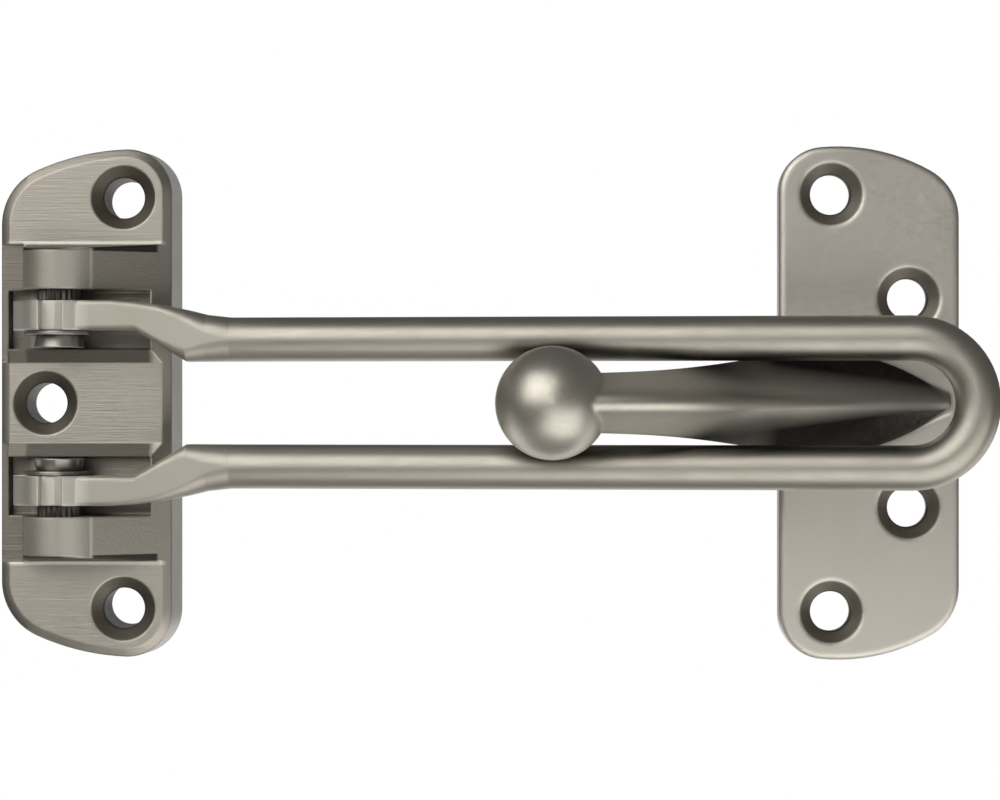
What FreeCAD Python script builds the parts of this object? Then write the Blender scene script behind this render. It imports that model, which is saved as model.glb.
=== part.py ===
import FreeCAD, Part
import math
import os

# Swing bar door guard in two halves, shown engaged: a hinge base for the frame, with a looped
# bar that swings on two pins, and a keeper for the door, with a ball on a raised neck.
# Millimetres. The origin is midway between the hinge base's two end screw holes, on the mounting
# plane Y = 0. X runs from the hinge base to the keeper, Z is up along the hinge axis, and the
# hardware is in front of the mounting plane, on the -Y side.
# Each piece is drawn lying down, with x and y in the mounting plane and z as its height off
# that plane, and is stood up at the end.

# Screw holes, countersunk for a number 8 wood screw
SCREW_HOLE_D = 5.1
SINK_D = 8.1
SINK_DEPTH = 1.45

# Hinge base, seen from the front
BASE_RIGHT = 6.0
BASE_WIDTH = 21.2
BASE_HALF_HEIGHT = 31.7
BASE_CORNER_R = 5.5
BASE_CROWN_R = 30.0
BASE_CROWN_OFFSET = 4.5
BASE_SHOULDER_R = 7.5
BASE_DRAFT = 0.4
BASE_RIM_H = 8.3
BASE_BAND = 1.1
BASE_WALL = 2.3
BASE_FLOOR_T = 1.5
BASE_RIB_T = 2.0
BASE_HOLE_PITCH = 51.3
BASE_HOLE_INSET = 6.0
CENTRE_HOLE_INSET = 15.7
HOLE_BOSS_WALL = 1.7

# Bays between the pads: a ramp that falls from the knuckle to the rim, with a pocket cut into it
# that the bar's eye turns in, and a sill between the pocket and the middle pad
RAMP_DEG = 29.0
PAD_EDGE_Y = 19.8
MID_PAD_HALF = 5.0
SILL_WIDTH = 1.7
POCKET_SIDE_WALL = 0.9
POCKET_RIGHT_WALL = 2.5

# Hinge line
AXIS_INSET = 13.5
AXIS_H = 11.8
KNUCKLE_R = 4.4
KNUCKLE_FOOT = 0.6
KNUCKLE_END_SLOPE = 1.05

# Bar
BAR_D = 5.4
BAR_HALF_SPAN = 7.75
BAR_LENGTH = 104.4
BAR_TILT = 6.0
BAR_LIFT = 1.9
EYE_R = 5.6
EYE_FLOOR_GAP = 0.4
EYE_T = 3.6
# notch across the eye: where it starts and ends along the bar, and its height over the hinge line
EYE_NOTCH_FROM = -1.15
EYE_NOTCH_TO = 0.45
EYE_NOTCH_H = 4.0
ARM_START = 1.65
# distance from the hinge line, outer side, inner side, corner radius
ARM_STATIONS = (
    (10.4, 12.35, 8.95, 0.6),
    (13.4, 12.00, 7.10, 0.8),
    (15.0, 11.70, 6.10, 1.1),
    (16.7, 11.35, 5.05, 1.5),
    (19.2, 10.75, 5.05, 2.2),
)
ARM_FLAT_END = 7.5
ARM_ROUND_X = 22.0
ARM_EDGE_R = 0.5
ARM_ROUND_FLAT = 0.05

# Pins and washers
PIN_SHANK_R = 2.0
PIN_RUNNING_GAP = 0.05
PIN_KNURL_R = 2.7
PIN_KNURL_TEETH = 22
PIN_KNURL_DEPTH = 0.25
PIN_PRESS_GAP = 0.02
PIN_BORE_SPARE = 0.2
PIN_HEAD_R = 2.75
PIN_HEAD_TIP_R = 3.1
PIN_HEAD_T = 1.55
PIN_HEAD_DISH = 0.35
PIN_HEAD_LIP = 0.6
PIN_HEAD_GAP = 0.15
PIN_GRIP = 3.4
WASHER_R = 4.3
WASHER_T = 0.45
EYE_SIDE_GAP = 0.1
KNUCKLE_GAP = 1.45

# Keeper plate, seen from the front
PLATE_LEFT = 82.4
PLATE_WIDTH = 22.85
PLATE_HALF_HEIGHT = 32.6
PLATE_CORNER_R = 5.8
PLATE_CROWN_R = 24.0
PLATE_CROWN_OFFSET = 7.5
PLATE_SHOULDER_R = 7.0
PLATE_T = 3.0
PLATE_EDGE_R = 0.6
PLATE_HOLE_PITCH = 53.0
PLATE_HOLE_INSET = 6.6
INNER_HOLE_PITCH = 26.5
INNER_HOLE_INSET = 16.4

# Ball: how far it laps over each arm of the bar, and the gap that it clears them by
BALL_X = 53.2
BALL_LAP = 1.75
BALL_GAP = 0.35

# Neck between the ball and its tip on the plate
NECK_TIP_INSET = 1.25
# share of the neck's length, half width, then crest, shoulder and underside as shares of the
# ball's height over the plate
NECK_STATIONS = (
    (0.04, 3.50, 1.215, 1.065, 0.900),
    (0.11, 3.58, 1.210, 1.045, 0.870),
    (0.25, 3.90, 1.155, 0.955, 0.735),
    (0.35, 4.40, 1.065, 0.830, 0.560),
    (0.44, 5.05, 0.935, 0.665, 0.370),
    (0.57, 6.00, 0.715, 0.420, 0.110),
    (0.69, 6.30, 0.500, 0.230, -0.045),
    (0.82, 5.30, 0.285, 0.095, -0.045),
    (0.92, 3.20, 0.135, 0.040, -0.045),
    (1.00, 1.20, 0.040, 0.020, -0.045),
)
NECK_CREST = 1.0
NECK_UNDER_WIDTH = 0.55

# How far a cut runs past the surface that it opens
CUT_MARGIN = 1.0

BASE_LEFT = BASE_RIGHT - BASE_WIDTH
RAMP_SLOPE = math.tan(math.radians(RAMP_DEG))
BASE_PAD_H = BASE_RIM_H + BASE_BAND * RAMP_SLOPE
SILL_H = BASE_RIM_H + POCKET_RIGHT_WALL * RAMP_SLOPE
AXIS_X = BASE_RIGHT - AXIS_INSET
KNUCKLE_TOP = AXIS_H + KNUCKLE_R
POCKET_H = AXIS_H - EYE_R - EYE_FLOOR_GAP
BASE_HOLLOW_H = POCKET_H - BASE_FLOOR_T
PLATE_RIGHT = PLATE_LEFT + PLATE_WIDTH
POCKET_IN = MID_PAD_HALF + SILL_WIDTH
WASHER_IN = POCKET_IN + PIN_HEAD_GAP + PIN_HEAD_T
EYE_IN = WASHER_IN + WASHER_T + EYE_SIDE_GAP
EYE_OUT = EYE_IN + EYE_T
KNUCKLE_IN = EYE_OUT + KNUCKLE_GAP
KNUCKLE_OUT = PAD_EDGE_Y - KNUCKLE_END_SLOPE
BALL_R = BAR_HALF_SPAN - BAR_D / 2 + BALL_LAP


def vec(x, y, z=0.0):
    return FreeCAD.Vector(x, y, z)


def arc(a, b, c):
    return Part.Arc(a, b, c).toShape()


def arc_about(centre, radius, start_deg, end_deg):
    """Arc in the plane z = centre.z, counter-clockwise from start to end."""
    points = []
    for angle in (start_deg, (start_deg + end_deg) / 2, end_deg):
        turn = math.radians(angle)
        points.append(centre + vec(radius * math.cos(turn), radius * math.sin(turn)))
    return arc(*points)


def box(x0, x1, y0, y1, z0, z1):
    return Part.makeBox(x1 - x0, y1 - y0, z1 - z0, vec(x0, y0, z0))


def stand_up(shape):
    """Turns a piece from lying down to its place on the wall."""
    turned = shape.copy()
    turned.rotate(vec(0, 0), vec(1, 0), 90)
    return turned


def both_ends(shape):
    """The shape and its mirror image below the middle."""
    return shape, shape.mirror(vec(0, 0), vec(0, 1))


def plate_outline(straight, far, half_height, corner_r, crown_r, crown_x, shoulder_r, z, inset=0.0):
    """Closed wire of a plate with one straight side and a sloping crown at each end.

    straight and far are the x of its two sides, and crown_x is where the crown is highest."""
    side = 1.0 if straight > far else -1.0
    straight = straight - side * inset
    far = far + side * inset
    top = half_height - inset
    corner_r = corner_r - inset
    crown_r = crown_r - inset
    shoulder_r = shoulder_r - inset
    crown = vec(crown_x, top - crown_r, z)
    corner_dx = straight - side * corner_r - crown_x
    corner = crown + vec(corner_dx, math.sqrt((crown_r - corner_r) ** 2 - corner_dx**2))
    shoulder_dx = far + side * shoulder_r - crown_x
    shoulder = crown + vec(shoulder_dx, math.sqrt((crown_r - shoulder_r) ** 2 - shoulder_dx**2))

    def bearing(centre):
        step = centre - crown
        return math.degrees(math.atan2(step.y, step.x))

    corner_turn = bearing(corner)
    shoulder_turn = bearing(shoulder)
    straight_turn = 0.0 if side > 0 else 180.0
    far_turn = 180.0 - straight_turn
    upper = [
        arc_about(corner, corner_r, straight_turn, corner_turn),
        arc_about(crown, crown_r, corner_turn, shoulder_turn),
        arc_about(shoulder, shoulder_r, shoulder_turn, far_turn),
    ]
    lower = [edge.mirror(vec(0, 0), vec(0, 1)) for edge in upper]
    sides = [
        Part.makeLine(vec(far, shoulder.y, z), vec(far, -shoulder.y, z)),
        Part.makeLine(vec(straight, -corner.y, z), vec(straight, corner.y, z)),
    ]
    edges = upper + [sides[0]] + lower[::-1] + [sides[1]]
    return Part.Wire(Part.__sortEdges__(edges))


def base_outline(z, inset=0.0):
    return plate_outline(
        BASE_RIGHT, BASE_LEFT, BASE_HALF_HEIGHT, BASE_CORNER_R, BASE_CROWN_R,
        BASE_RIGHT - BASE_CROWN_OFFSET, BASE_SHOULDER_R, z, inset,
    )


def keeper_outline(z, inset=0.0):
    return plate_outline(
        PLATE_LEFT, PLATE_RIGHT, PLATE_HALF_HEIGHT, PLATE_CORNER_R, PLATE_CROWN_R,
        PLATE_LEFT + PLATE_CROWN_OFFSET, PLATE_SHOULDER_R, z, inset,
    )


def slab(outline, height):
    return Part.Face(outline).extrude(vec(0, 0, height))


def hinge_line_rod(radius, y, length):
    """Cylinder on the upper half of the hinge line, from y outwards."""
    return Part.makeCylinder(radius, length, vec(AXIS_X, y, AXIS_H), vec(0, 1))


def hinge_line_cone(radius, tip_radius, y, length):
    """Cone on the upper half of the hinge line, from y outwards."""
    return Part.makeCone(radius, tip_radius, length, vec(AXIS_X, y, AXIS_H), vec(0, 1))


def screw_cut(x, y, top):
    """Through hole with its countersink, for a face at height top."""
    hole = Part.makeCylinder(SCREW_HOLE_D / 2, top + 2 * CUT_MARGIN, vec(x, y, -CUT_MARGIN))
    sink = Part.makeCone(SCREW_HOLE_D / 2, SINK_D / 2, SINK_DEPTH, vec(x, y, top - SINK_DEPTH))
    mouth = Part.makeCylinder(SINK_D / 2, CUT_MARGIN, vec(x, y, top))
    return hole.fuse([sink, mouth])


def side_prism(points, x0, x1):
    """Solid with a side outline of (y, z) points, from x0 to x1."""
    corners = [vec(x0, y, z) for y, z in points]
    return Part.Face(Part.makePolygon(corners + corners[:1])).extrude(vec(x1 - x0, 0))


def base_pads():
    """The crown over the rim, kept at the two ends and the middle as the pads."""
    crown = Part.makeLoft([base_outline(BASE_RIM_H), base_outline(BASE_PAD_H, BASE_BAND)], True, True)
    bay = box(
        BASE_LEFT - CUT_MARGIN, BASE_RIGHT + CUT_MARGIN, MID_PAD_HALF, PAD_EDGE_Y,
        BASE_RIM_H, BASE_PAD_H + CUT_MARGIN,
    )
    return crown.cut(both_ends(bay))


def sill():
    """The low end of the ramp, with the slope that rises to it from the middle pad."""
    left = BASE_LEFT + POCKET_SIDE_WALL
    points = [
        vec(left, MID_PAD_HALF, POCKET_H),
        vec(left, MID_PAD_HALF, SILL_H),
        vec(BASE_RIGHT - POCKET_RIGHT_WALL, MID_PAD_HALF, SILL_H),
        vec(BASE_RIGHT, MID_PAD_HALF, BASE_RIM_H),
        vec(BASE_RIGHT, MID_PAD_HALF, POCKET_H),
    ]
    block = Part.Face(Part.makePolygon(points + points[:1])).extrude(vec(0, KNUCKLE_IN - MID_PAD_HALF))
    slope = side_prism(
        [
            (MID_PAD_HALF, POCKET_H), (MID_PAD_HALF, BASE_PAD_H), (POCKET_IN, SILL_H),
            (KNUCKLE_IN, SILL_H), (KNUCKLE_IN, POCKET_H),
        ],
        BASE_LEFT, BASE_RIGHT,
    )
    return block.common(slope)


def ramp_meets_knuckle():
    """Where the ramp's line from the rim runs into the knuckle's round."""
    turn = math.radians(180 - RAMP_DEG)
    step = vec(math.cos(turn), math.sin(turn))
    start = vec(BASE_RIGHT - AXIS_X, BASE_RIM_H - AXIS_H)
    middle = -(start.x * step.x + start.y * step.y)
    nearest = start + step * middle
    point = start + step * (middle - math.sqrt(KNUCKLE_R**2 - nearest.Length**2))
    return point.x, point.y


def knuckle():
    """A hinge knuckle: steep on the left, round on top, with the ramp on its right."""
    foot_left = AXIS_X - KNUCKLE_R - KNUCKLE_FOOT
    dx, dz = ramp_meets_knuckle()
    y = KNUCKLE_IN
    meets = vec(AXIS_X + dx, y, AXIS_H + dz)
    flank = vec(AXIS_X - KNUCKLE_R, y, AXIS_H)
    corners = [
        flank,
        vec(foot_left, y, BASE_RIM_H),
        vec(foot_left, y, POCKET_H),
        vec(BASE_RIGHT, y, POCKET_H),
        vec(BASE_RIGHT, y, BASE_RIM_H),
        meets,
    ]
    lines = [Part.makeLine(a, b) for a, b in zip(corners, corners[1:])]
    top = arc(meets, vec(AXIS_X, y, KNUCKLE_TOP), flank)
    block = Part.Face(Part.Wire(lines + [top])).extrude(vec(0, PAD_EDGE_Y - KNUCKLE_IN))
    slope = side_prism(
        [
            (KNUCKLE_IN, POCKET_H), (PAD_EDGE_Y, POCKET_H), (PAD_EDGE_Y, BASE_PAD_H),
            (KNUCKLE_OUT, KNUCKLE_TOP), (KNUCKLE_IN, KNUCKLE_TOP),
        ],
        BASE_LEFT, BASE_RIGHT,
    )
    return block.common(slope)


def base_pocket_cut():
    """The pocket that a bar's eye turns in."""
    return box(
        BASE_LEFT + POCKET_SIDE_WALL, BASE_RIGHT - POCKET_RIGHT_WALL,
        POCKET_IN, KNUCKLE_IN, POCKET_H, KNUCKLE_TOP,
    )


def pin_bore_cut():
    """Blind bore in a knuckle that the knurled end of a pin is pressed into."""
    reach = PIN_GRIP + PIN_BORE_SPARE
    return hinge_line_rod(PIN_KNURL_R + PIN_PRESS_GAP, KNUCKLE_IN, reach)


def base_screws():
    end_x = BASE_RIGHT - BASE_HOLE_INSET
    middle_x = BASE_RIGHT - CENTRE_HOLE_INSET
    return (end_x, BASE_HOLE_PITCH / 2), (end_x, -BASE_HOLE_PITCH / 2), (middle_x, 0.0)


def base_hollow():
    """The casting's open back: one cavity with two ribs, and a boss round each screw hole."""
    cavity = slab(base_outline(0, BASE_WALL), BASE_HOLLOW_H)
    rib_mid = PAD_EDGE_Y - BASE_RIB_T
    rib = box(BASE_LEFT, BASE_RIGHT, rib_mid - BASE_RIB_T / 2, rib_mid + BASE_RIB_T / 2, 0, BASE_HOLLOW_H)
    kept = list(both_ends(rib))
    boss_r = SCREW_HOLE_D / 2 + HOLE_BOSS_WALL
    for x, y in base_screws():
        kept.append(Part.makeCylinder(boss_r, BASE_HOLLOW_H, vec(x, y)))
    return cavity.cut(kept)


def hinge_base():
    body = Part.makeLoft([base_outline(0, -BASE_DRAFT), base_outline(BASE_RIM_H)], True, True)
    inside = slab(base_outline(0), KNUCKLE_TOP)
    raised = [base_pads()]
    for block in (sill(), knuckle()):
        raised += [end.common(inside) for end in both_ends(block)]
    solid = body.fuse(raised)
    cuts = list(both_ends(base_pocket_cut())) + list(both_ends(pin_bore_cut()))
    cuts += [screw_cut(x, y, BASE_PAD_H) for x, y in base_screws()]
    cuts.append(base_hollow())
    return solid.cut(cuts).removeSplitter()


def bar_section(x, mid_y, width, depth, corner_r):
    """Rounded rectangle across an arm, as eight edges, at distance x from the hinge axis."""
    half_w = width / 2 - corner_r
    half_d = depth / 2 - corner_r
    place = vec(AXIS_X + x, mid_y, AXIS_H + BAR_LIFT)
    centres = ((half_w, half_d, 0), (-half_w, half_d, 90), (-half_w, -half_d, 180), (half_w, -half_d, 270))
    arcs = []
    for cy, cz, start in centres:
        points = []
        for turn in (start, start + 45, start + 90):
            angle = math.radians(turn)
            points.append(place + vec(0, cy + corner_r * math.cos(angle), cz + corner_r * math.sin(angle)))
        arcs.append(points)
    edges = []
    for here, after in zip(arcs, arcs[1:] + arcs[:1]):
        edges.append(arc(*here))
        edges.append(Part.makeLine(here[2], after[0]))
    return Part.Wire(edges)


def bar_arm():
    """One arm from its eye to where it turns round."""
    eye_mid = (EYE_IN + EYE_OUT) / 2
    sections = [
        bar_section(ARM_START, eye_mid, EYE_T, BAR_D, ARM_EDGE_R),
        bar_section(ARM_FLAT_END, eye_mid, EYE_T, BAR_D, ARM_EDGE_R),
    ]
    straight = Part.makeLoft(sections, True, True)
    sections = sections[1:]
    for x, out, inner, corner_r in ARM_STATIONS:
        sections.append(bar_section(x, (out + inner) / 2, out - inner, BAR_D, corner_r))
    sections.append(bar_section(ARM_ROUND_X, BAR_HALF_SPAN, BAR_D, BAR_D, BAR_D / 2 - ARM_ROUND_FLAT))
    swept = Part.makeLoft(sections, True, True)
    eye = hinge_line_rod(EYE_R, EYE_IN, EYE_T)
    notch = box(
        AXIS_X + EYE_NOTCH_FROM, AXIS_X + ARM_START, EYE_IN, EYE_OUT,
        AXIS_H + EYE_NOTCH_H, AXIS_H + EYE_R + CUT_MARGIN,
    )
    front = AXIS_H + BAR_LIFT + BAR_D / 2
    points = [
        vec(AXIS_X + EYE_NOTCH_TO, EYE_IN, AXIS_H),
        vec(AXIS_X + EYE_NOTCH_TO, EYE_IN, AXIS_H + EYE_NOTCH_H),
        vec(AXIS_X + ARM_START, EYE_IN, front - ARM_EDGE_R / 2),
        vec(AXIS_X + ARM_START, EYE_IN, AXIS_H),
    ]
    step = Part.Face(Part.makePolygon(points + points[:1])).extrude(vec(0, EYE_T))
    bore = hinge_line_rod(PIN_SHANK_R + PIN_RUNNING_GAP, EYE_IN - CUT_MARGIN, EYE_T + 2 * CUT_MARGIN)
    return eye.cut(notch).fuse([straight, swept, step]).cut(bore)


def bar_loop():
    """The straight round arms and the half turn that joins them."""
    start_x = AXIS_X + ARM_ROUND_X
    turn_x = AXIS_X + BAR_LENGTH
    height = AXIS_H + BAR_LIFT
    upper = Part.makeLine(vec(start_x, BAR_HALF_SPAN, height), vec(turn_x, BAR_HALF_SPAN, height))
    bend = arc(
        vec(turn_x, BAR_HALF_SPAN, height),
        vec(turn_x + BAR_HALF_SPAN, 0, height),
        vec(turn_x, -BAR_HALF_SPAN, height),
    )
    lower = Part.makeLine(vec(turn_x, -BAR_HALF_SPAN, height), vec(start_x, -BAR_HALF_SPAN, height))
    section = Part.Wire(Part.makeCircle(BAR_D / 2, vec(start_x, BAR_HALF_SPAN, height), vec(1, 0)))
    return Part.Wire([upper, bend, lower]).makePipeShell([section], True, False)


def swing_bar():
    bar = bar_loop().fuse(list(both_ends(bar_arm()))).removeSplitter()
    bar.rotate(vec(AXIS_X, 0, AXIS_H), vec(0, -1), BAR_TILT)
    return bar


def hinge_pin():
    """Pin with a flared, dished head inside the bar's eye and a knurled end in the knuckle."""
    tip = WASHER_IN - PIN_HEAD_T
    head = hinge_line_cone(PIN_HEAD_TIP_R, PIN_HEAD_R, tip, PIN_HEAD_T)
    dish_r = PIN_HEAD_TIP_R - PIN_HEAD_LIP
    dish = hinge_line_cone(dish_r, dish_r - PIN_HEAD_DISH, tip, PIN_HEAD_DISH)
    knurl_from = EYE_OUT + EYE_SIDE_GAP
    knurl_length = KNUCKLE_IN - knurl_from + PIN_GRIP
    shank = hinge_line_rod(PIN_SHANK_R, WASHER_IN, knurl_from - WASHER_IN)
    points = []
    for tooth in range(2 * PIN_KNURL_TEETH):
        turn = math.pi * tooth / PIN_KNURL_TEETH
        radius = PIN_KNURL_R - PIN_KNURL_DEPTH * (tooth % 2)
        points.append(vec(AXIS_X + radius * math.cos(turn), knurl_from, AXIS_H + radius * math.sin(turn)))
    knurl = Part.Face(Part.makePolygon(points + points[:1])).extrude(vec(0, knurl_length))
    return head.cut(dish).fuse([shank, knurl])


def pin_washer():
    disc = hinge_line_rod(WASHER_R, WASHER_IN, WASHER_T)
    hole = hinge_line_rod(PIN_SHANK_R + PIN_RUNNING_GAP, WASHER_IN, WASHER_T)
    return disc.cut(hole)


def ball_height():
    """Height of the ball's centre, from where the bar passes it at rest."""
    tilt = math.radians(BAR_TILT)
    bar_h = AXIS_H + BAR_LIFT / math.cos(tilt) + (BALL_X - AXIS_X) * math.tan(tilt)
    apart = BALL_R + BAR_D / 2 + BALL_GAP
    return bar_h + math.sqrt(apart**2 - BAR_HALF_SPAN**2) / math.cos(tilt)


def neck_section(x, half_width, crest, shoulder, under):
    """Gabled section across the neck: a rounded crest, shoulders and a narrower underside."""
    left = vec(x, half_width, shoulder)
    right = vec(x, -half_width, shoulder)
    under_left = vec(x, half_width * NECK_UNDER_WIDTH, under)
    under_right = vec(x, -half_width * NECK_UNDER_WIDTH, under)
    pitch = math.atan2(crest - shoulder, half_width)
    crest_half = min(NECK_CREST, half_width / 2)
    drop = crest_half * math.tan(pitch / 2)
    crest_left = vec(x, crest_half, crest - drop)
    crest_right = vec(x, -crest_half, crest - drop)
    return Part.Wire([
        Part.makeLine(left, crest_left),
        arc(crest_left, vec(x, 0, crest), crest_right),
        Part.makeLine(crest_right, right),
        Part.makeLine(right, under_right),
        Part.makeLine(under_right, under_left),
        Part.makeLine(under_left, left),
    ])


def keeper():
    plate = slab(keeper_outline(0), PLATE_T)
    rim = [e for e in plate.Edges if e.BoundBox.ZMin > PLATE_T - PLATE_EDGE_R / 2]
    plate = plate.makeFillet(PLATE_EDGE_R, rim)
    end_x = PLATE_LEFT + PLATE_HOLE_INSET
    inner_x = PLATE_LEFT + INNER_HOLE_INSET
    holes = []
    for end in (1, -1):
        holes.append(screw_cut(end_x, end * PLATE_HOLE_PITCH / 2, PLATE_T))
        holes.append(screw_cut(inner_x, end * INNER_HOLE_PITCH / 2, PLATE_T))
    plate = plate.cut(holes)
    ball_h = ball_height()
    length = PLATE_RIGHT - NECK_TIP_INSET - BALL_X
    rise = ball_h - PLATE_T
    sections = []
    for along, half_width, *shares in NECK_STATIONS:
        heights = [PLATE_T + share * rise for share in shares]
        sections.append(neck_section(BALL_X + along * length, half_width, *heights))
    neck = Part.makeLoft(sections, True, False)
    ball = Part.makeSphere(BALL_R, vec(BALL_X, 0, ball_h))
    return plate.fuse([neck, ball]).removeSplitter()


def save(name, shape):
    solid = stand_up(shape)
    solid.exportStep("parts/%s.step" % name)
    state = "valid" if solid.isValid() else "NOT VALID"
    print(name, state, len(solid.Solids), "solid", round(solid.Volume, 1))


def main():
    os.makedirs("parts", exist_ok=True)
    save("hinge_base", hinge_base())
    save("swing_bar", swing_bar())
    for end, pin, washer in zip(("upper", "lower"), both_ends(hinge_pin()), both_ends(pin_washer())):
        save("hinge_pin_%s" % end, pin)
        save("pin_washer_%s" % end, washer)
    save("keeper", keeper())


main()
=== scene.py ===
import math

import bpy
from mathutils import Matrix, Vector

# Swing bar door guard in satin nickel, seen square from the front.
# Metres. X runs from the hinge base to the keeper, Z is up, and the viewer is on the -Y side.
# All the shapes are the CAD solids. This script gives them their materials, and adds the floor,
# the lamps and the camera.

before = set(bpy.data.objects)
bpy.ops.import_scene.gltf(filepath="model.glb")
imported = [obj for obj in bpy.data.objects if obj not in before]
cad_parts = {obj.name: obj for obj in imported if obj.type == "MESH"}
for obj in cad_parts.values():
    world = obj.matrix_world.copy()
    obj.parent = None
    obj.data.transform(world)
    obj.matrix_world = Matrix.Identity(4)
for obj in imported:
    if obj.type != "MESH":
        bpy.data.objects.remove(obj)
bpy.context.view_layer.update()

# Camera
VIEW_X = 0.047
VIEW_DISTANCE = 0.360
SENSOR_MM = 36.0
FOCAL_PX = 2816.0
FRAME_PX = 1000.0
CENTRE_DROP_PX = 3.0
CLIP_START = 0.01

# Light: its colour, the dim room all round, and the white that the metal mirrors from behind,
# with the y of the directions where that white is nil and full
LIGHT_COLOUR = (1.0, 0.985, 0.955)
ROOM_COLOUR = (*LIGHT_COLOUR, 1.0)
ROOM_BRIGHTNESS = 0.12
WHITE = (1.0, 1.0, 1.0, 1.0)
WHITE_BEHIND = (0.92, 0.97)

# Floor: its height and half its width, how far out it starts to turn white and is all white, and
# the same for how far back, as the metal mirrors it
FLOOR_Z = -0.800
FLOOR_HALF = 3.0
FLOOR_FADE = (0.45, 0.75)
FLOOR_BACK = (0.05, 0.25)
FLOOR_COLOURS = ((0.80, 0.80, 0.79, 1.0), (0.84, 0.84, 0.83, 1.0))
FLOOR_GRAIN = 90.0
FLOOR_ROUGHNESS = 0.8

# Screw holes: their middles, the radius of their countersinks and bores, how wide the edge of
# their painted shade is, how dark it is, and how much rougher the countersinks are
BASE_HOLES = ((0.0, 0.02565), (0.0, -0.02565), (-0.0097, 0.0))
KEEPER_HOLES = ((0.0890, 0.0265), (0.0890, -0.0265), (0.0988, 0.01325), (0.0988, -0.01325))
SINK_R = 0.00405
BORE_R = 0.00272
HOLE_EDGE = 0.0002
HOLE_DARK = 0.8
SINK_ROUGHER = 0.12

# x and height of the hinge line, the radius of the knuckles round it, and how far outside that
# radius the finish of their rounds is nil and full
HINGE_LINE = (-0.0075, 0.0118)
KNUCKLE_R = 0.0044
KNUCKLE_FADE = (0.00012, 0.00004)


def zone(x=(), height=(), side=()):
    """Part of a piece, as it lies at rest. x, height off the wall and distance from the middle
    each have pairs of a value where the zone's effect is nil and a value where it is full."""
    return x, height, side


# Zones that the light hardly reaches
SILL = zone(((0.0040, 0.0032), (-0.0146, -0.0140)), ((0.0050, 0.0054),),
            ((0.0049, 0.0051), (0.0070, 0.0068)))
END_SLOPE = zone(((-0.0119, -0.0117), (0.0045, 0.0042)), ((0.0050, 0.0088),),
                 ((0.0187, 0.0188), (0.0199, 0.0197)))
BAR_INSIDE = zone(x=((0.058, 0.076), (0.102, 0.094)), side=((0.0072, 0.0054),))

# Zones that are brushed, rougher, or lighter with painted light
MIDDLE_PAD = zone(height=((0.0084, 0.0088),), side=((0.0051, 0.0049),))
END_PADS = zone(height=((0.0084, 0.0088),), side=((0.0195, 0.0198),))
PAD_EDGES = zone(((0.0068, 0.0066),), ((0.0086, 0.0088),), ((0.0196, 0.0198), (0.0203, 0.0201)))
KNUCKLES = zone(height=((0.0084, 0.0088),), side=((0.0137, 0.0139),))
KNUCKLE_ROUNDS = zone(((-0.0030, -0.0034),), ((0.0086, 0.0088),),
                      ((0.0137, 0.0139), (0.0192, 0.0190)))
KNUCKLE_RIGHTS = zone(((-0.0070, -0.0045), (-0.0030, -0.0034)), *KNUCKLE_ROUNDS[1:])
EYES = zone(x=((0.020, 0.008),))
EYE_BARRELS = zone(x=((-0.0030, -0.0050),))
NECK = zone(((0.056, 0.062),), ((0.0034, 0.0060),), ((0.0006, 0.0020), (0.0068, 0.0064)))
PLATE = zone(height=((0.0037, 0.0034),))

# The painted shade and the roughness of the screw holes stay off the back
OFF_THE_BACK = zone(height=((0.0001, 0.0004),))

# Where the base isn't brushed it is darker, as cast and with painted shade for steeper slopes:
# the x that ends its dark left strip, nil and full, and the share of the dark to the right and to
# the left of there
LEFT_STRIP = (-0.0118, -0.0122)
CAST_AND_SHADE_SHARE = (0.08, 0.8)

# Shade on the neck's flanks, where the bar is near: the height above the plate, the x past the
# ball and the distance from the middle where it is nil and full
NECK_FOOT = (0.0034, 0.0040)
NECK_START = (0.068, 0.081)
NECK_SHADE = (0.0018, 0.0049)

# That distance shrinks by this share of x beyond NECK_CREEP_X, and on the lower flank it shrinks
# from nothing at the first z to the last value at the second z
NECK_CREEP_X = 0.0807
NECK_CREEP = 0.122
NECK_LOW_FLANK = (-0.0002, -0.0010, 0.0, 0.00155)

# How near a neighbour has to be to crowd a place or to darken a hollow with painted shade, how
# open a hollow is where that is nil and full, and how many rays look round
CROWD_REACH = 0.030
CROWD_SAMPLES = 24
HOLLOW_REACH = 0.005
HOLLOW_RANGE = (0.80, 0.30)
SAMPLES = 6

# Colours
NICKEL = (0.585, 0.557, 0.493, 1.0)
NICKEL_BRIGHT = (0.66, 0.63, 0.56, 1.0)
NICKEL_CAST = (0.475, 0.452, 0.402, 1.0)
# Painted light, for highlights and brighter flats
PAINTED_LIGHT = (0.88, 0.85, 0.78, 1.0)
NICKEL_BAR = (0.52, 0.495, 0.44, 1.0)
NICKEL_WORN = (0.68, 0.65, 0.60, 1.0)
NICKEL_DULL = (0.50, 0.47, 0.408, 1.0)
STEEL = (0.60, 0.58, 0.54, 1.0)
STEEL_WORN = (0.74, 0.72, 0.68, 1.0)
STEEL_DULL = (0.47, 0.45, 0.41, 1.0)
# Dark of the cast metal, with painted shade
CAST_DARK_AND_SHADE = (0.22, 0.20, 0.17, 1.0)
# Painted shade in the countersinks
SINK_SHADE = (0.20, 0.18, 0.145, 1.0)
# Painted shade in hollows
SHADE_IN_HOLLOWS = (0.045, 0.040, 0.032, 1.0)
SHADE = (0.012, 0.011, 0.009, 1.0)

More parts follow.
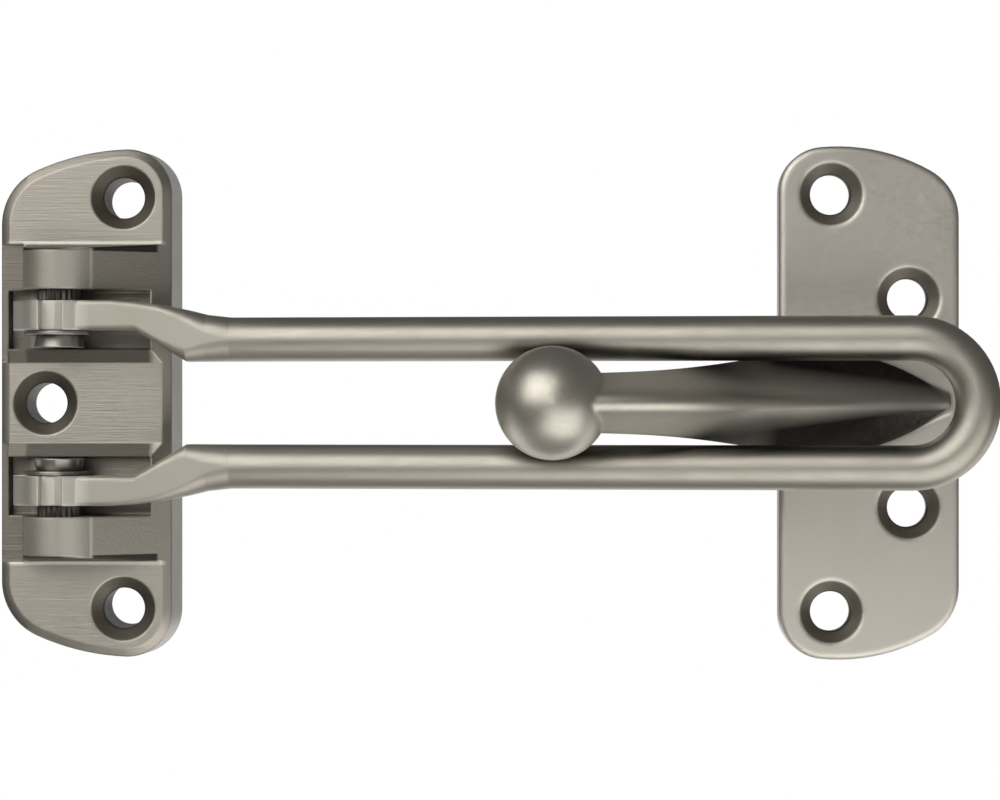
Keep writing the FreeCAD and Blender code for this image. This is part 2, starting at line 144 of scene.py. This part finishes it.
# Patterns of the finish: the scale of the blotches and specks, how much finer than the lines the
# fine lines are, how far the lines run, and the detail and roughness of each noise
BLOTCH_SCALE = 140.0
SPECK_SCALE = 5200.0
FINER = 2.7
EVEN = (1.0, 1.0, 1.0)
ALONG_X = (0.02, 1.0, 1.0)
PARTLY_ALONG_X = (0.5, 1.0, 1.0)
ALONG_Z = (1.0, 1.0, 0.1)
LINE_NOISE = (4.0, 0.65)
FINE_NOISE = (2.0, 0.6)
BLOTCH_NOISE = (4.0, 0.55)
SPECK_NOISE = (2.0, 0.5)

# What the patterns do: from this value of a pattern to that one, it dulls the metal or breaks up
# the wear of its edges by so much. An edge shows by how far its rounded normal turns away
BLOTCH_DULLS = (0.3, 0.75, 0.0, 1.0)
LINES_DULL = (0.3, 0.8, 0.0, 0.45)
EDGE_PATCHES = (0.35, 0.6, 0.5, 1.0)
EDGE_BEND = (0.995, 0.86)

# Roughness: over this range of the lines it goes from so much below to so much above its middle,
# the blotches shift it, and worn edges are smoother
LINE_RANGE = (0.25, 0.75)
LINE_SMOOTHER = 0.05
LINE_ROUGHER = 0.06
BLOTCH_ROUGHER = (0.3, 0.7, -0.02, 0.03)
EDGE_SMOOTHER = 0.06

# Bump: the heights of the fine lines and specks beside those of the lines, and its strength
FINE_HEIGHT = 0.6
SPECK_HEIGHT = 0.12
BUMP_STRENGTH = 0.35


def place_camera():
    data = bpy.data.cameras.new("camera")
    data.sensor_width = SENSOR_MM
    data.lens = FOCAL_PX / FRAME_PX * SENSOR_MM
    data.shift_y = CENTRE_DROP_PX / FRAME_PX
    data.clip_start = CLIP_START
    camera = bpy.data.objects.new("camera", data)
    camera.location = (VIEW_X, -VIEW_DISTANCE, 0.0)
    camera.rotation_euler = (math.pi / 2, 0.0, 0.0)
    bpy.context.scene.collection.objects.link(camera)
    bpy.context.scene.camera = camera


def softbox(name, right_deg, up_deg, distance, width, height, brightness):
    """Area lamp in front of the object, facing its middle."""
    data = bpy.data.lights.new(name, "AREA")
    data.shape = "RECTANGLE"
    data.size = width
    data.size_y = height
    data.energy = brightness * math.pi * width * height
    data.color = LIGHT_COLOUR
    lamp = bpy.data.objects.new(name, data)
    right, up = math.radians(right_deg), math.radians(up_deg)
    way = Vector((math.sin(right) * math.cos(up), -math.cos(right) * math.cos(up), math.sin(up)))
    lamp.location = Vector((VIEW_X, 0.0, 0.0)) + way * distance
    lamp.rotation_euler = (-way).to_track_quat("-Z", "Y").to_euler()
    bpy.context.scene.collection.objects.link(lamp)


def light_the_scene():
    """Two softboxes, a large one high on the left and a smaller one low on the right."""
    softbox("softbox_high", right_deg=-31.0, up_deg=30.0, distance=1.00,
            width=1.08, height=0.96, brightness=1.75)
    softbox("softbox_low", right_deg=27.0, up_deg=-39.0, distance=0.55,
            width=0.76, height=0.58, brightness=1.22)


class Nodes:
    """Short ways to add and join the nodes of one tree."""

    def __init__(self, tree):
        self.tree = tree
        tree.nodes.clear()

    def add(self, kind, **inputs):
        """A new node, with its inputs given by name, or as i0, i1 and so on by number."""
        node = self.tree.nodes.new(kind)
        for name, value in inputs.items():
            self.set(node, name, value)
        return node

    def set(self, node, name, value):
        by_number = name[0] == "i" and name[1:].isdigit()
        socket = node.inputs[int(name[1:]) if by_number else name]
        if isinstance(value, bpy.types.NodeSocket):
            self.tree.links.new(value, socket)
        else:
            socket.default_value = value

    def math(self, operation, a, b=0.0, clamp=False):
        node = self.add("ShaderNodeMath", i0=a, i1=b)
        node.operation = operation
        node.use_clamp = clamp
        return node.outputs[0]

    def product(self, first, *others):
        result = first
        for other in others:
            result = self.math("MULTIPLY", result, other)
        return result

    def vector(self, operation, a, b, output="Vector"):
        node = self.add("ShaderNodeVectorMath", i0=a, i1=b)
        node.operation = operation
        return node.outputs[output]

    def split(self, vector):
        node = self.add("ShaderNodeSeparateXYZ", Vector=vector)
        return node.outputs[0], node.outputs[1], node.outputs[2]

    def ramp(self, value, low, high, out_low=0.0, out_high=1.0):
        node = self.add("ShaderNodeMapRange", Value=value)
        node.inputs["From Min"].default_value = low
        node.inputs["From Max"].default_value = high
        node.inputs["To Min"].default_value = out_low
        node.inputs["To Max"].default_value = out_high
        return node.outputs["Result"]

    def mix(self, factor, a, b):
        node = self.add("ShaderNodeMix")
        node.data_type = "RGBA"
        self.set(node, "i0", factor)
        self.set(node, "i6", a)
        self.set(node, "i7", b)
        return node.outputs[2]

    def noise(self, place, scale, stretch=EVEN, detail=3.0, roughness=0.5):
        mapping = self.add("ShaderNodeMapping", Vector=place, Scale=stretch)
        node = self.add("ShaderNodeTexNoise", Vector=mapping.outputs[0], Scale=scale)
        node.inputs["Detail"].default_value = detail
        node.inputs["Roughness"].default_value = roughness
        return node.outputs[0]

    def openness(self, reach, samples):
        """1 where nothing is within reach, and less where neighbours close a place in."""
        node = self.add("ShaderNodeAmbientOcclusion", Distance=reach)
        node.samples = samples
        return node.outputs["AO"]

    def seen_white(self, behind):
        """1 for what the camera sees, and as far as it lies behind for what metal mirrors."""
        path = self.add("ShaderNodeLightPath").outputs
        mirrored = self.math("MAXIMUM", path["Is Glossy Ray"], path["Is Transmission Ray"])
        return self.math("MAXIMUM", path["Is Camera Ray"], self.product(mirrored, behind))


def make_world():
    """White behind the object, a dim studio everywhere else."""
    world = bpy.data.worlds.new("studio")
    bpy.context.scene.world = world
    world.use_nodes = True
    n = Nodes(world.node_tree)
    _, towards_back, _ = n.split(n.add("ShaderNodeTexCoord").outputs["Generated"])
    seen = n.seen_white(n.ramp(towards_back, *WHITE_BEHIND))
    room = n.add("ShaderNodeBackground", Color=ROOM_COLOUR, Strength=ROOM_BRIGHTNESS)
    white = n.add("ShaderNodeBackground", Color=WHITE, Strength=1.0)
    mix = n.add("ShaderNodeMixShader", i0=seen, i1=room.outputs[0], i2=white.outputs[0])
    n.add("ShaderNodeOutputWorld", Surface=mix.outputs[0])


def floor_material():
    """Pale and matt. It keeps the shadow, and turns white farther out."""
    material = bpy.data.materials.new("pale_floor")
    material.use_nodes = True
    n = Nodes(material.node_tree)
    place = n.add("ShaderNodeNewGeometry").outputs["Position"]
    _, back, _ = n.split(place)
    offset = n.vector("DISTANCE", place, (VIEW_X, 0.0, FLOOR_Z), "Value")
    seen = n.seen_white(n.ramp(back, *FLOOR_BACK))
    whitened = n.product(seen, n.ramp(offset, *FLOOR_FADE))
    matt = n.add("ShaderNodeBsdfPrincipled", Roughness=FLOOR_ROUGHNESS)
    n.set(matt, "Base Color", n.mix(n.noise(place, FLOOR_GRAIN), *FLOOR_COLOURS))
    glow = n.add("ShaderNodeEmission", Color=WHITE, Strength=1.0)
    mix = n.add("ShaderNodeMixShader", i0=whitened, i1=matt.outputs[0], i2=glow.outputs[0])
    n.add("ShaderNodeOutputMaterial", Surface=mix.outputs[0])
    return material


def make_floor():
    mesh = bpy.data.meshes.new("floor")
    h = FLOOR_HALF
    corners = [(-h, -h, FLOOR_Z), (h, -h, FLOOR_Z), (h, h, FLOOR_Z), (-h, h, FLOOR_Z)]
    mesh.from_pydata(corners, [], [(0, 1, 2, 3)])
    floor = bpy.data.objects.new("floor", mesh)
    bpy.context.scene.collection.objects.link(floor)
    mesh.materials.append(floor_material())


def in_zone(n, position, place):
    """0 to 1 over a zone."""
    x, y, z = n.split(position)
    height = n.product(y, -1.0)
    side = n.math("ABSOLUTE", z)
    inside = 1.0
    for value, steps in zip((x, height, side), place):
        for nil, full in steps:
            inside = n.product(inside, n.ramp(value, nil, full))
    return inside


def in_a_hole(n, position, holes, radius):
    """1 nearer than the radius to the middle of any of the holes, 0 farther and on the back."""
    flat = n.vector("MULTIPLY", position, (1.0, 0.0, 1.0))
    inside = 0.0
    for x, z in holes:
        away = n.vector("DISTANCE", flat, (x, 0.0, z), "Value")
        inside = n.math("MAXIMUM", inside, n.ramp(away, radius, radius - HOLE_EDGE))
    return n.product(inside, in_zone(n, position, OFF_THE_BACK))


def on_a_knuckle(n, position):
    """1 on the round of a knuckle, 0 off it."""
    x, height = HINGE_LINE
    flat = n.vector("MULTIPLY", position, (1.0, 1.0, 0.0))
    away = n.vector("DISTANCE", flat, (x, -height, 0.0), "Value")
    nil, full = [KNUCKLE_R + outside for outside in KNUCKLE_FADE]
    return n.product(n.ramp(away, nil, full), in_zone(n, position, KNUCKLES))


def on_a_dark_flank(n, position):
    """How far the bar, where it is near, keeps the light off the neck's flanks."""
    x, y, z = n.split(position)
    creep = n.product(n.math("SUBTRACT", x, NECK_CREEP_X), NECK_CREEP)
    side = n.math("ADD", n.math("ABSOLUTE", z), creep)
    side = n.math("ADD", side, n.ramp(z, *NECK_LOW_FLANK))
    above_plate = n.ramp(n.product(y, -1.0), *NECK_FOOT)
    past_ball = n.ramp(x, *NECK_START)
    return n.product(n.ramp(side, *NECK_SHADE), above_plate, past_ball)


def worn_edges(n, wear, blotch):
    """The normal with its edges rounded, how worn a place is, and how far it is shut in."""
    bevel = n.add("ShaderNodeBevel", Radius=wear)
    bevel.samples = SAMPLES
    rounded = bevel.outputs[0]
    normal = n.add("ShaderNodeNewGeometry").outputs["Normal"]
    bent = n.ramp(n.vector("DOT_PRODUCT", rounded, normal, "Value"), *EDGE_BEND)
    shut = n.ramp(n.openness(HOLLOW_REACH, SAMPLES), *HOLLOW_RANGE)
    worn = n.math("MULTIPLY", bent, n.math("SUBTRACT", 1.0, shut), clamp=True)
    return rounded, n.product(worn, n.ramp(blotch, *EDGE_PATCHES)), shut


def tinted(n, tone, colour, position, zones, where=1.0):
    """A tone that goes towards a colour over zones, by the share that comes with each."""
    for place, share in zones:
        tone = n.mix(n.product(in_zone(n, position, place), where, share), tone, colour)
    return tone


def uneven_roughness(n, middle, lines, blotch, worn):
    rough = n.ramp(lines, *LINE_RANGE, middle - LINE_SMOOTHER, middle + LINE_ROUGHER)
    rough = n.math("ADD", rough, n.ramp(blotch, *BLOTCH_ROUGHER))
    return n.math("SUBTRACT", rough, n.product(worn, EDGE_SMOOTHER))


def grained(n, rounded, lines, fine, speck, depth):
    """The rounded normal with the bumps of the lines and specks."""
    height = n.math("ADD", lines, n.product(fine, FINE_HEIGHT))
    height = n.math("ADD", height, n.product(speck, SPECK_HEIGHT))
    bump = n.add("ShaderNodeBump", Height=height, Normal=rounded,
                 Strength=BUMP_STRENGTH, Distance=depth)
    return bump.outputs[0]


def satin_metal(name, colours, roughness, line_scale, stretch, depth=0.00001, wear=0.0004,
                hollows=0.9, holes=(), brushed=0.0, brushed_zones=(), rough_zones=(),
                painted_light_zones=(), dark_zones=(), crowd=None, knuckles=False, neck=False):
    """Brushed metal: fine lines, slow blotches, brighter worn edges and duller hollows.

    colours are the plain, the worn and the dull one. stretch is small along the lines, and depth
    is how deep they are. wear is how wide the worn edges are, and hollows how dark the painted
    shade in hollows gets.
    brushed is how far highlights spread across the lines in the brushed zones. The other zones
    each come with how much they are rougher, lighter with painted light or darker with painted
    shade. crowd is how open a place is where its neighbours take no light and where they take it
    all, and it limits the dark zones and the shade on the neck. With knuckles, their rounds are
    brushed too, and what isn't brushed is darker, as cast and with painted shade.
    """
    plain, worn_colour, dull = colours
    material = bpy.data.materials.new(name)
    material.use_nodes = True
    n = Nodes(material.node_tree)
    position = n.add("ShaderNodeTexCoord").outputs["Object"]
    lines = n.noise(position, line_scale, stretch, *LINE_NOISE)
    fine = n.noise(position, line_scale * FINER, stretch, *FINE_NOISE)
    blotch = n.noise(position, BLOTCH_SCALE, EVEN, *BLOTCH_NOISE)
    speck = n.noise(position, SPECK_SCALE, EVEN, *SPECK_NOISE)
    rounded, worn, shut = worn_edges(n, wear, blotch)
    crowded = n.ramp(n.openness(CROWD_REACH, CROWD_SAMPLES), *crowd) if crowd else 1.0

    tone = n.mix(n.ramp(blotch, *BLOTCH_DULLS), plain, dull)
    tone = n.mix(n.ramp(lines, *LINES_DULL), tone, dull)
    tone = n.mix(worn, tone, worn_colour)
    # Painted shade, darker where a place is shut in
    tone = n.mix(n.product(shut, hollows), tone, SHADE_IN_HOLLOWS)
    tone = tinted(n, tone, SHADE, position, dark_zones, crowded)
    # Painted light on the lighter zones
    tone = tinted(n, tone, PAINTED_LIGHT, position, painted_light_zones)
    if neck:
        tone = n.mix(n.product(on_a_dark_flank(n, position), crowded), tone, SHADE)
    rough = uneven_roughness(n, roughness, lines, blotch, worn)
    for place, extra in rough_zones:
        rough = n.math("ADD", rough, n.product(in_zone(n, position, place), extra))
    if holes:
        # Painted shade in the countersinks and bores, and rougher countersinks
        sink = in_a_hole(n, position, holes, SINK_R)
        bore = in_a_hole(n, position, holes, BORE_R)
        tone = n.mix(n.product(sink, HOLE_DARK), tone, SINK_SHADE)
        tone = n.mix(n.product(bore, HOLE_DARK), tone, SHADE)
        rough = n.math("ADD", rough, n.product(sink, SINK_ROUGHER))

    shader = n.add("ShaderNodeBsdfPrincipled", Metallic=1.0, Roughness=rough)
    n.set(shader, "Normal", grained(n, rounded, lines, fine, speck, depth))
    if brushed_zones:
        raised = on_a_knuckle(n, position) if knuckles else 0.0
        for place in brushed_zones:
            raised = n.math("MAXIMUM", raised, in_zone(n, position, place))
        if knuckles:
            x, _, _ = n.split(position)
            # Darker off the brushed zones, as cast and with painted shade for steeper slopes
            cast_and_shaded = n.mix(n.ramp(x, *LEFT_STRIP, *CAST_AND_SHADE_SHARE), tone, CAST_DARK_AND_SHADE)
            tone = n.mix(raised, cast_and_shaded, tone)
        normal = n.add("ShaderNodeNewGeometry").outputs["Normal"]
        n.set(shader, "Anisotropic", n.product(raised, brushed))
        n.set(shader, "Tangent", n.vector("CROSS_PRODUCT", normal, (1.0, 0.0, 0.0)))
    n.set(shader, "Base Color", tone)
    n.add("ShaderNodeOutputMaterial", Surface=shader.outputs[0])
    return material


def dress(nodes, material):
    for name in nodes:
        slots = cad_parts[name].data.materials
        slots.clear()
        slots.append(material)


def dress_the_base():
    dress(["hinge_base"], satin_metal(
        "satin_nickel_cast", (NICKEL_CAST, NICKEL_WORN, NICKEL_DULL), roughness=0.36,
        line_scale=5200.0, stretch=ALONG_X, depth=0.0001, hollows=0.3, holes=BASE_HOLES,
        brushed=0.2, brushed_zones=[MIDDLE_PAD, END_PADS], knuckles=True,
        rough_zones=[(KNUCKLE_ROUNDS, 0.18)],
        # Painted highlights on the knuckles' right sides and along the pads' edges
        painted_light_zones=[(KNUCKLE_RIGHTS, 0.9), (PAD_EDGES, 0.75)],
        dark_zones=[(SILL, 0.82), (END_SLOPE, 0.9)],
    ))


def dress_the_keeper():
    dress(["keeper"], satin_metal(
        "satin_nickel_plate", (NICKEL_BRIGHT, NICKEL_WORN, NICKEL), roughness=0.40,
        line_scale=2600.0, stretch=PARTLY_ALONG_X, wear=0.0009, holes=KEEPER_HOLES,
        # Painted light on the flat of the plate
        rough_zones=[(NECK, 0.22)], painted_light_zones=[(PLATE, 0.5)], crowd=(0.985, 0.87), neck=True,
    ))


def dress_the_bar():
    dress(["swing_bar"], satin_metal(
        "satin_nickel_bar", (NICKEL_BAR, NICKEL_WORN, NICKEL_DULL), roughness=0.41,
        line_scale=3600.0, stretch=ALONG_X, brushed=0.8, brushed_zones=[EYES],
        # Painted highlight on the eye barrels
        rough_zones=[(EYE_BARRELS, 0.18)], painted_light_zones=[(EYE_BARRELS, 0.8)],
        dark_zones=[(BAR_INSIDE, 0.97)], crowd=(0.95, 0.87),
    ))


def dress_the_pins():
    pins = ["hinge_pin_upper", "hinge_pin_lower", "pin_washer_upper", "pin_washer_lower"]
    dress(pins, satin_metal(
        "pin_steel", (STEEL, STEEL_WORN, STEEL_DULL), roughness=0.36,
        line_scale=4200.0, stretch=ALONG_Z, wear=0.0002,
    ))


place_camera()
light_the_scene()
make_world()
make_floor()
dress_the_base()
dress_the_keeper()
dress_the_bar()
dress_the_pins()

bpy.context.scene.view_settings.view_transform = "Standard"
